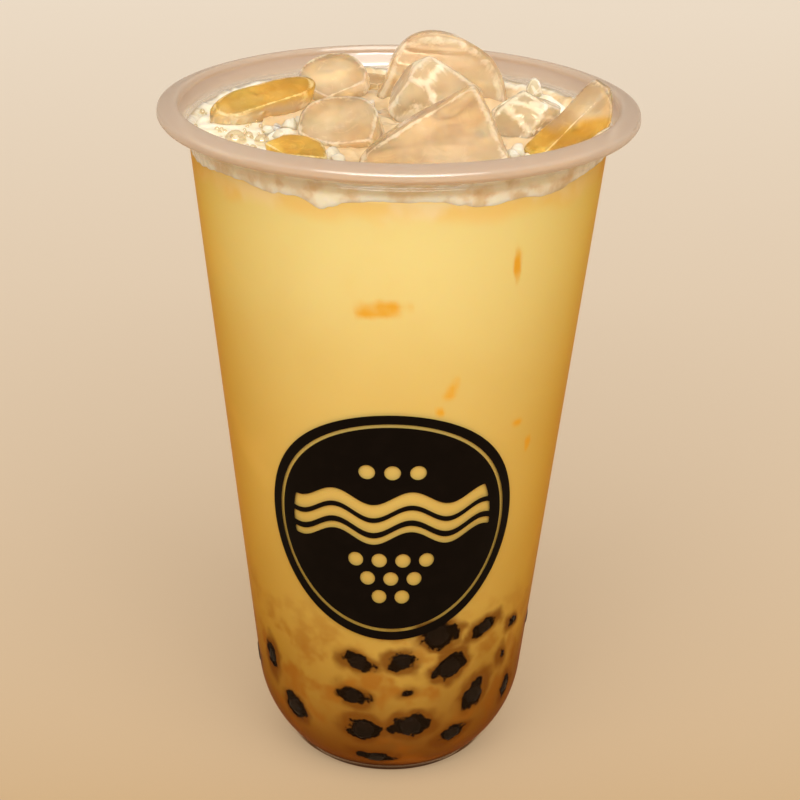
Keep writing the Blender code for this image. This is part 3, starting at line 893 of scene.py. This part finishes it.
class BUBBLETEA_OT_cup(bpy.types.Operator):
    """Build the clear cup with its sloping lip, shoulder, tapered wall and round foot."""

    bl_idname = "bubbletea.cup"
    bl_label = "Cup"

    def execute(self, context):
        settings = context.scene.bubble_cup
        top = settings.height / MM
        lip = settings.lip_radius / MM
        wall = settings.wall / MM
        under = top - LIP_DEPTH
        shoulder = top - SHOULDER_DEPTH
        outer_shoulder = float(wall_radius(shoulder, 0.0))
        rim = rounded_line([
            (lip - 4.25, top - 0.7), (lip - 3.9, top - 0.1), (lip - 3.2, top), (lip - 0.9, top - 0.75),
            (lip - 0.1, top - 1.2), (lip, top - 2.0), (lip - 0.05, top - 2.6), (lip - 0.45, top - 2.95),
            (lip - 0.5, top - 3.2), (lip - 1.3, under), (lip - 3.2, under + 0.05), (lip - 4.1, under - 0.3),
            (outer_shoulder + 0.55, under - 1.0), (outer_shoulder + 0.25, shoulder + 1.2),
            (outer_shoulder + 0.65, shoulder + 0.5), (outer_shoulder + 0.5, shoulder + 0.1),
            (outer_shoulder + 0.05, shoulder - 0.1),
            (float(wall_radius(shoulder - 0.5, 0.0)), shoulder - 0.5),
        ])
        outer = wall_line(0.0, 0.0, shoulder - 1.0)
        foot = rounded_line([
            (FOOT_RING_RADIUS + 0.9, 0.0), (FOOT_RING_RADIUS + 0.3, 0.1),
            (FOOT_RING_RADIUS - 0.1, FOOT_RECESS), (FOOT_RING_RADIUS - 1.0, FOOT_RECESS),
            (1.0, FOOT_RECESS)])
        inner = wall_line(wall, FOOT_RECESS + FLOOR_THICKNESS, shoulder - 1.0)[::-1]
        inner_shoulder = float(wall_radius(shoulder, wall))
        mouth = rounded_line([
            (inner_shoulder, shoulder), (inner_shoulder + 0.35, shoulder + 1.2),
            (inner_shoulder + 0.9, under), (lip - 4.3, top - 1.6), (lip - 4.3, top - 1.0)], 2)
        outside = np.vstack([rim, outer, foot])
        inside = np.vstack([[(1.0, FOOT_RECESS + FLOOR_THICKNESS)], inner, mouth])
        columns = 240
        mesh = self.shell(outside, inside, columns)
        new_piece("cup_shell", mesh, clear_plastic(settings), "cup", "cup")
        return {"FINISHED"}

    @staticmethod
    def shell(outside, inside, columns):
        """One closed skin: both sides turned, joined at the lip, with a fan in each floor's middle."""
        profile = np.vstack([inside, outside])
        points = turned_points(profile, columns)
        return grid_mesh("cup_shell", points, close_start=True, close_end=True)


class BUBBLETEA_OT_printing(bpy.types.Operator):
    """Print the round badge of waves and dots on the front of the cup."""

    bl_idname = "bubbletea.printing"
    bl_label = "Printing"

    badge_radius: bpy.props.FloatProperty(
        name="Badge radius", description="Radius of the printed disc", default=25.6 * MM, unit="LENGTH")
    badge_height: bpy.props.FloatProperty(
        name="Badge height", description="Height of the badge's middle", default=62.4 * MM, unit="LENGTH")

    def execute(self, context):
        settings = context.scene.bubble_cup
        radius = self.badge_radius / MM
        middle = self.badge_height / MM
        share = np.linspace(0.0, 1.0, 110)[1:]
        turn = np.linspace(0.0, 2.0 * np.pi, 300, endpoint=False)
        share, turn = np.meshgrid(share, turn, indexing="ij")
        across = radius * share * np.cos(turn)
        along = radius * share * np.sin(turn)
        slope = math.hypot(1.0, WALL_TAPER)
        height = middle + along / slope
        film = wall_radius(height, -0.04)
        around = across / wall_radius(middle, 0.0) - np.pi / 2
        points = np.stack([film * np.cos(around), film * np.sin(around), height], -1)
        mesh = grid_mesh("cup_printing", points, close_start=True)
        set_attribute(mesh, "ink", self.ink(across, along, radius).ravel())
        centre = mesh.attributes["ink"].data[len(mesh.vertices) - 1]
        centre.value = float(self.ink(np.zeros(1), np.zeros(1), radius)[0])
        new_piece("cup_printing", mesh, printing_ink(settings), "cup")
        return {"FINISHED"}

    @staticmethod
    def ink(across, along, radius):
        """Distance in mm from the nearest unprinted line: above zero is ink.

        Unprinted are a thin ring inside the edge, three waves, a row of dots over them and a
        triangle of dots below them.
        """
        far = np.hypot(across, along)
        ink = np.full(far.shape, 9.0)
        ink = np.minimum(ink, np.abs(far - (radius - 2.3)) - 0.35)
        inside = radius - 5.2 - far
        for level, width in ((5.6, 1.25), (1.9, 0.95), (-1.2, 0.6)):
            wave = level + 1.5 * np.sin(across * 2.0 * np.pi / 15.0)
            line = np.abs(along - wave) / 1.18 - width
            ink = np.minimum(ink, np.maximum(line, -inside))
        for row, (count, level) in enumerate(((3, 12.9), (4, -7.0), (3, -11.2), (2, -15.4))):
            for place in range(count):
                x = (place - (count - 1) / 2) * 4.8
                dot = np.hypot(across - x, along - level) - 1.55
                ink = np.minimum(ink, dot)
        return ink


class BUBBLETEA_OT_drink(bpy.types.Operator):
    """Build the milk tea, from its surface down the wall to the floor of the cup."""

    bl_idname = "bubbletea.drink"
    bl_label = "Milk tea"

    def execute(self, context):
        settings = context.scene.bubble_drink
        wall = context.scene.bubble_cup.wall / MM
        inset = wall - DRINK_REACH
        level = settings.level / MM
        bottom = FOOT_RECESS + FLOOR_THICKNESS - DRINK_REACH
        columns = 384
        edge = float(wall_radius(level, inset))
        rings = np.concatenate([np.linspace(0.6, edge - 1.2, 70), edge - np.array([0.8, 0.4, 0.15, 0.0])])
        top = drink_top(columns, rings, level, edge)
        side = turned_points(wall_line(inset, bottom, level - 0.4), columns)
        points = np.concatenate([top, side])
        mesh = grid_mesh("milk_tea_body", points, close_start=True, close_end=True)
        set_attribute(mesh, "pearl_gap", pearl_gap(points.reshape(-1, 3)))
        set_attribute(mesh, "amber", amber_windows(points.reshape(-1, 3)))
        new_piece("milk_tea_body", mesh, milk_tea(settings), "milk_tea", "milk_tea")
        return {"FINISHED"}


class BUBBLETEA_OT_pearls(bpy.types.Operator):
    """Build the tapioca pearls that lie against the wall."""

    bl_idname = "bubbletea.pearls"
    bl_label = "Pearls"

    def execute(self, context):
        settings = context.scene.bubble_drink
        material = tapioca(settings)
        directions = ball_directions(32, 48)
        wall = context.scene.bubble_cup.wall / MM
        flat_inset = wall - PEARL_REACH
        drink_inset = wall - DRINK_REACH
        for number, (centre, outward) in enumerate(pearl_places(), start=1):
            cap = 0.7 * PEARLS[number - 1][2]
            facing = np.clip(directions @ outward, 1e-3, 1.0)
            angle = math.atan2(cap, PEARL_INSET - drink_inset)
            bulge = math.hypot(cap, PEARL_INSET - drink_inset) - PEARL_RADIUS
            start = math.cos(angle * 2.2)
            share = np.clip((facing - start) / (math.cos(angle) - start), 0, 1)
            radius = PEARL_RADIUS * (1.0 + 0.02 * waviness(directions * 4.0, 5.0, 100 + number))
            radius = radius + max(bulge, 0.0) * share ** 2 * (3.0 - 2.0 * share)
            radius += 0.12 * waviness(directions * 4.0, 1.1, 130 + number) * share
            radius = np.minimum(radius, (PEARL_INSET - flat_inset) / facing)
            points = centre + directions * radius[..., None]
            name = f"pearl_body_{number:02d}"
            mesh = grid_mesh(name, points, close_start=True, close_end=True)
            new_piece(name, mesh, material, "pearl", f"pearl_{number:02d}")
        return {"FINISHED"}


class BUBBLETEA_OT_ice(bpy.types.Operator):
    """Build the pieces of ice that stand out of the drink."""

    bl_idname = "bubbletea.ice"
    bl_label = "Ice"

    def execute(self, context):
        settings = context.scene.bubble_drink
        materials = {
            "melted": ice(settings, "melted_ice", 0.85, 0.03),
            "split": ice(settings, "split_ice", 0.85, 0.06),
            "cracked": ice(settings, "cracked_ice", 0.85, 0.10),
            "crushed": ice(settings, "crushed_ice", 0.55, 0.80),
            "frosted": ice(settings, "frosted_ice", 0.25, 1.0),
        }
        for number, (node, kind, soaked, middle, turn, shape) in enumerate(ICE_PIECES, start=1):
            points, soak, edge = ice_surface(kind, soaked, middle, turn, shape, 200 + number)
            name = f"{kind}_{node}"
            mesh = grid_mesh(name, points, close_start=True, close_end=True)
            set_attribute(mesh, "soak", soak.ravel())
            set_attribute(mesh, "edge", edge.ravel())
            new_piece(name, mesh, materials[kind], "ice", node)
        return {"FINISHED"}


class BUBBLETEA_OT_slush(bpy.types.Operator):
    """Fill the gaps between the pieces of ice with fine wet ice, frothy along the wall."""

    bl_idname = "bubbletea.slush"
    bl_label = "Slush"

    def execute(self, context):
        settings = context.scene.bubble_drink
        wall = context.scene.bubble_cup.wall / MM
        level = settings.level / MM
        inset = wall - SLUSH_REACH
        edge = float(wall_radius(level, inset))
        turn = np.linspace(0.0, 2.0 * np.pi, 300, endpoint=False)
        rings = np.concatenate([np.linspace(0.8, edge - 2.0, 60), edge - np.array([1.4, 0.8, 0.3])])
        radius, turns = np.meshgrid(rings, turn, indexing="ij")
        x = radius * np.cos(turns)
        y = radius * np.sin(turns)
        flat = np.stack([x, y, np.full(x.shape, level)], -1)
        height, near, wall_share = bed_height(x, y, level, edge)
        cover = wall_share * (0.55 + 0.45 * waviness(flat, 9.0, 33))
        froth = np.maximum(near, cover)
        soak = np.clip((level + 1.3 - height) / 1.6, 0.0, 1.0)
        points, froth, soak = self.closed(turn, flat, height, froth, soak, level, inset)
        mesh = grid_mesh("slush_bed", points, close_start=True, close_end=True)
        set_attribute(mesh, "froth", froth.ravel())
        set_attribute(mesh, "soak", soak.ravel())
        new_piece("slush_bed", mesh, slush(settings), "ice")
        return {"FINISHED"}

    @staticmethod
    def closed(turn, flat, height, froth, soak, level, inset):
        """The bed's top carried on down the wall and back underneath, so that it is one closed skin."""
        top = flat.copy()
        top[..., 2] = height
        around = (np.degrees(turn) + 90.0 + 180.0) % 360.0 - 180.0
        low = level - 0.4 - 0.35 * np.abs(waviness(flat[-1], 5.0, 34))
        for middle, half_width, depth in WALL_FROTH:
            low -= depth * np.exp(-((around - middle) / half_width) ** 2)
        high = height[-1] + 0.25
        rows = []
        for share in (0.0, 0.15, 0.5, 0.85, 1.0):
            z = high + (low - high) * share
            radius = wall_radius(z, inset + 0.15 * (share == 1.0))
            rows.append(np.stack([radius * np.cos(turn), radius * np.sin(turn), z], -1))
        for distance in (1.0, 6.0, 38.0):
            radius = wall_radius(low, inset) - distance
            rows.append(np.stack([radius * np.cos(turn), radius * np.sin(turn), low - 0.2], -1))
        under = np.array(rows)
        points = np.concatenate([top, under])
        cover = 0.70 + 0.40 * waviness(under, 6.0, 35)
        froth = np.concatenate([froth, cover * 0.9])
        soak = np.concatenate([soak, np.zeros(under.shape[:2])])
        return points, froth, soak


class BUBBLETEA_OT_crumbs(bpy.types.Operator):
    """Scatter small broken ice on the slush, between the large pieces."""

    bl_idname = "bubbletea.crumbs"
    bl_label = "Ice crumbs"

    count: bpy.props.IntProperty(
        name="Crumbs", description="How many crumbs are tried", default=130, min=1)

    def execute(self, context):
        settings = context.scene.bubble_drink
        level = settings.level / MM
        edge = float(wall_radius(level, context.scene.bubble_cup.wall / MM))
        rng = np.random.default_rng(41)
        far = (edge - 5.0) * np.sqrt(rng.uniform(0.0, 1.0, self.count))
        turn = rng.uniform(0.0, 2.0 * np.pi, self.count)
        x = far * np.cos(turn)
        y = far * np.sin(turn)
        sizes = rng.uniform(0.6, 1.7, self.count)
        height, _, _ = bed_height(x, y, level, edge)
        clear = ~under_foam(x, y) & (ice_top(x, y, level) < height + 0.5)
        directions = ball_directions(18, 28)
        crumbs = []
        for place in np.flatnonzero(clear):
            normals = rng.normal(size=(11, 3))
            normals /= np.linalg.norm(normals, axis=1)[:, None]
            distances = sizes[place] * rng.uniform(0.65, 1.0, len(normals))
            ratios = np.clip(directions @ normals.T, 0.0, None) / distances
            reach = (ratios ** 18.0).sum(-1) ** (-1.0 / 18.0)
            reach = np.minimum(reach, 1.4 * sizes[place])
            centre = np.array([x[place], y[place], height[place] + 0.3 * sizes[place]])
            crumbs.append(centre + directions * reach[..., None])
        mesh = join_grids("ice_crumbs", crumbs)
        new_piece("ice_crumbs", mesh, ice(settings, "crumbled_ice", 0.18, 0.60), "ice")
        return {"FINISHED"}


class BUBBLETEA_OT_foam(bpy.types.Operator):
    """Build the patch of foam at the left of the drink, and its bubbles."""

    bl_idname = "bubbletea.foam"
    bl_label = "Foam"

    def execute(self, context):
        settings = context.scene.bubble_drink
        level = settings.level / MM
        patch = self.patch_points(level)
        mesh = grid_mesh("foam_patch", patch, close_start=True, close_end=True)
        new_piece("foam_patch", mesh, foam(settings), "milk_foam", "milk_foam")
        self.bubbles(settings, level)
        return {"FINISHED"}

    @staticmethod
    def patch_points(level):
        """A low uneven mound over a bent oval: rings from the middle out, then back underneath.

        The turn runs backwards because the oval's second direction runs clockwise seen from +Z.
        """
        turn = np.linspace(2.0 * np.pi, 0.0, 180, endpoint=False)
        share = np.concatenate([np.linspace(0.03, 1.0, 40), [0.97, 0.5, 0.03]])
        under = np.arange(len(share)) >= 40
        share, turn = np.meshgrid(share, turn, indexing="ij")
        outline = (np.abs(np.cos(turn)) ** 4 + np.abs(np.sin(turn)) ** 4) ** -0.25
        ragged = 1.0 + 0.05 * np.sin(5 * turn + 1.0) + 0.04 * np.sin(11 * turn)
        along = share * outline * np.cos(turn) * ragged
        across = share * outline * np.sin(turn) * ragged
        angle = np.radians(193.0 - 30.0 * across)
        radius = 33.4 + 7.2 * np.clip(along, -1.1, 1.0)
        mound = 2.6 * np.sqrt(np.clip(1.0 - share ** 6, 0.0, 1.0)) + 0.8 * np.clip(along, 0, 1)
        flat = np.full(radius.shape, level)
        points = np.stack([radius * np.cos(angle), radius * np.sin(angle), flat], -1)
        lumps = 0.25 * waviness(points, 6.0, 9) + 0.06 * waviness(points, 2.0, 10)
        height = np.where(under[:, None], level - 0.4, level + mound + lumps * (share < 0.98))
        points[..., 2] = np.where(share >= 1.0, level - 0.1, height)
        return points

    @staticmethod
    def bubbles(settings, level):
        """Balls of thin film half sunk in the foam: a few large and many small ones, as one mesh."""
        rng = np.random.default_rng(17)
        places = [(turn, far, size) for turn, far, size in LARGE_BUBBLES]
        for _ in range(40):
            places.append((rng.uniform(164, 222), rng.uniform(27, 40), rng.uniform(0.22, 0.6)))
        directions = ball_directions(10, 20)
        clusters = []
        for turn, far, size in places:
            angle = math.radians(turn)
            centre = np.array([far * math.cos(angle), far * math.sin(angle), level + 2.75])
            clusters.append(centre + directions * size)
        joined = join_grids("foam_bubbles", clusters)
        new_piece("foam_bubbles", joined, bubble_film(settings), "milk_foam")


def join_grids(name, grids):
    """One mesh of closed grids of the same size, each with a fan from its middle at both ends."""
    rows, columns = grids[0].shape[:2]
    single = grid_mesh("part", grids[0], close_start=True, close_end=True)
    corners = np.empty(len(single.loops), np.int32)
    single.loops.foreach_get("vertex_index", corners)
    sides = np.empty(len(single.polygons), np.int32)
    single.polygons.foreach_get("loop_total", sides)
    each = len(single.vertices)
    bpy.data.meshes.remove(single)
    grids = np.array(grids)
    points = np.concatenate([
        grids.reshape(len(grids), rows * columns, 3), grids[:, 0].mean(1)[:, None],
        grids[:, -1].mean(1)[:, None]], 1)
    corners = (corners[None, :] + each * np.arange(len(grids))[:, None]).ravel()
    sides = np.tile(sides, len(grids))
    faces = [face.tolist() for face in np.split(corners, np.cumsum(sides)[:-1])]
    mesh = bpy.data.meshes.new(name)
    mesh.from_pydata((points.reshape(-1, 3) * MM).tolist(), [], faces)
    mesh.shade_smooth()
    return mesh


def aim_light(context, data, place, target):
    """Add a light at a place, turned to its target."""
    light = bpy.data.objects.new(data.name, data)
    light.location = place
    light.rotation_euler = (target - place).to_track_quat("-Z", "Y").to_euler()
    context.scene.collection.objects.link(light)


class BUBBLETEA_OT_stage(bpy.types.Operator):
    """Set up the floor, the lights and the camera."""

    bl_idname = "bubbletea.stage"
    bl_label = "Stage"

    def execute(self, context):
        settings = context.scene.bubble_stage
        self.floor(context, settings)
        self.lights(context, settings)
        self.camera(context)
        context.scene.view_settings.view_transform = "Standard"
        return {"FINISHED"}

    @staticmethod
    def floor(context, settings):
        """A wide flat sheet under the cup."""
        half = 3.0
        mesh = bpy.data.meshes.new("floor")
        corners = [(-half, -half, 0.0), (half, -half, 0.0), (half, half, 0.0), (-half, half, 0.0)]
        mesh.from_pydata(corners, [], [(0, 1, 2, 3)])
        mesh.materials.append(floor_paper(settings))
        floor = bpy.data.objects.new("floor", mesh)
        context.scene.collection.objects.link(floor)

    @staticmethod
    def lights(context, settings):
        """A broad light from the front and above, a strip above the camera, and dim surroundings."""
        world = bpy.data.worlds.new("surroundings")
        world.use_nodes = True
        background = world.node_tree.nodes["Background"]
        background.inputs["Color"].default_value = WARM_SKY
        background.inputs["Strength"].default_value = settings.sky
        context.scene.world = world
        key = bpy.data.lights.new("key_light", "SUN")
        key.energy = settings.key_strength
        key.angle = math.radians(70.0)
        key.color = WARM_WHITE
        aim_light(context, key, Vector((0.02, -1.0, 1.0)), Vector((0.0, 0.0, 0.0)))
        strip = bpy.data.lights.new("strip_light", "AREA")
        strip.shape = "RECTANGLE"
        strip.size = 0.50
        strip.size_y = 0.05
        strip.energy = settings.strip_power
        strip.color = WARM_WHITE
        aim_light(context, strip, Vector((0.0, -0.55, 0.50)), Vector((0.0, 0.0, 0.12)))

    @staticmethod
    def camera(context):
        """A long lens that looks down at the cup from the front."""
        data = bpy.data.cameras.new("camera")
        data.sensor_width = 36.0
        data.lens = CAMERA_LENS
        data.clip_start = 0.01
        camera = bpy.data.objects.new("camera", data)
        turn = Matrix.Rotation(math.radians(-CAMERA_TURN), 4, "Z")
        pitch = Matrix.Rotation(math.radians(90.0 - CAMERA_DOWN), 4, "X")
        roll = Matrix.Rotation(math.radians(CAMERA_ROLL), 4, "Z")
        camera.matrix_world = Matrix.Translation(CAMERA_PLACE) @ turn @ pitch @ roll
        context.scene.collection.objects.link(camera)
        context.scene.camera = camera


class BUBBLETEA_PT_panel(bpy.types.Panel):
    """Lists the pieces of the bubble tea and their settings."""

    bl_idname = "BUBBLETEA_PT_panel"
    bl_label = "Bubble tea"
    bl_space_type = "VIEW_3D"
    bl_region_type = "UI"
    bl_category = "Bubble tea"

    def draw(self, context):
        layout = self.layout
        for operator in PIECE_ORDER:
            layout.operator(operator)
        for group in ("bubble_cup", "bubble_drink", "bubble_stage"):
            settings = getattr(context.scene, group)
            box = layout.box()
            for key in settings.__annotations__:
                box.prop(settings, key)


PIECE_ORDER = (
    "bubbletea.cup", "bubbletea.printing", "bubbletea.drink", "bubbletea.pearls", "bubbletea.ice",
    "bubbletea.slush", "bubbletea.crumbs", "bubbletea.foam", "bubbletea.stage",
)

CLASSES = (
    CupSettings, DrinkSettings, StageSettings, BUBBLETEA_OT_cup, BUBBLETEA_OT_printing,
    BUBBLETEA_OT_drink, BUBBLETEA_OT_pearls, BUBBLETEA_OT_ice, BUBBLETEA_OT_slush,
    BUBBLETEA_OT_crumbs, BUBBLETEA_OT_foam, BUBBLETEA_OT_stage, BUBBLETEA_PT_panel,
)


def register():
    """Register the classes and put the settings on the scene."""
    for kind in CLASSES:
        bpy.utils.register_class(kind)
    bpy.types.Scene.bubble_cup = bpy.props.PointerProperty(type=CupSettings)
    bpy.types.Scene.bubble_drink = bpy.props.PointerProperty(type=DrinkSettings)
    bpy.types.Scene.bubble_stage = bpy.props.PointerProperty(type=StageSettings)


def unregister():
    """Take the settings off the scene and unregister the classes."""
    del bpy.types.Scene.bubble_stage
    del bpy.types.Scene.bubble_drink
    del bpy.types.Scene.bubble_cup
    for kind in reversed(CLASSES):
        bpy.utils.unregister_class(kind)


def main():
    """Register the classes and build every piece."""
    register()
    for operator in PIECE_ORDER:
        group, name = operator.split(".")
        getattr(getattr(bpy.ops, group), name)()


if __name__ == "__main__":
    main()
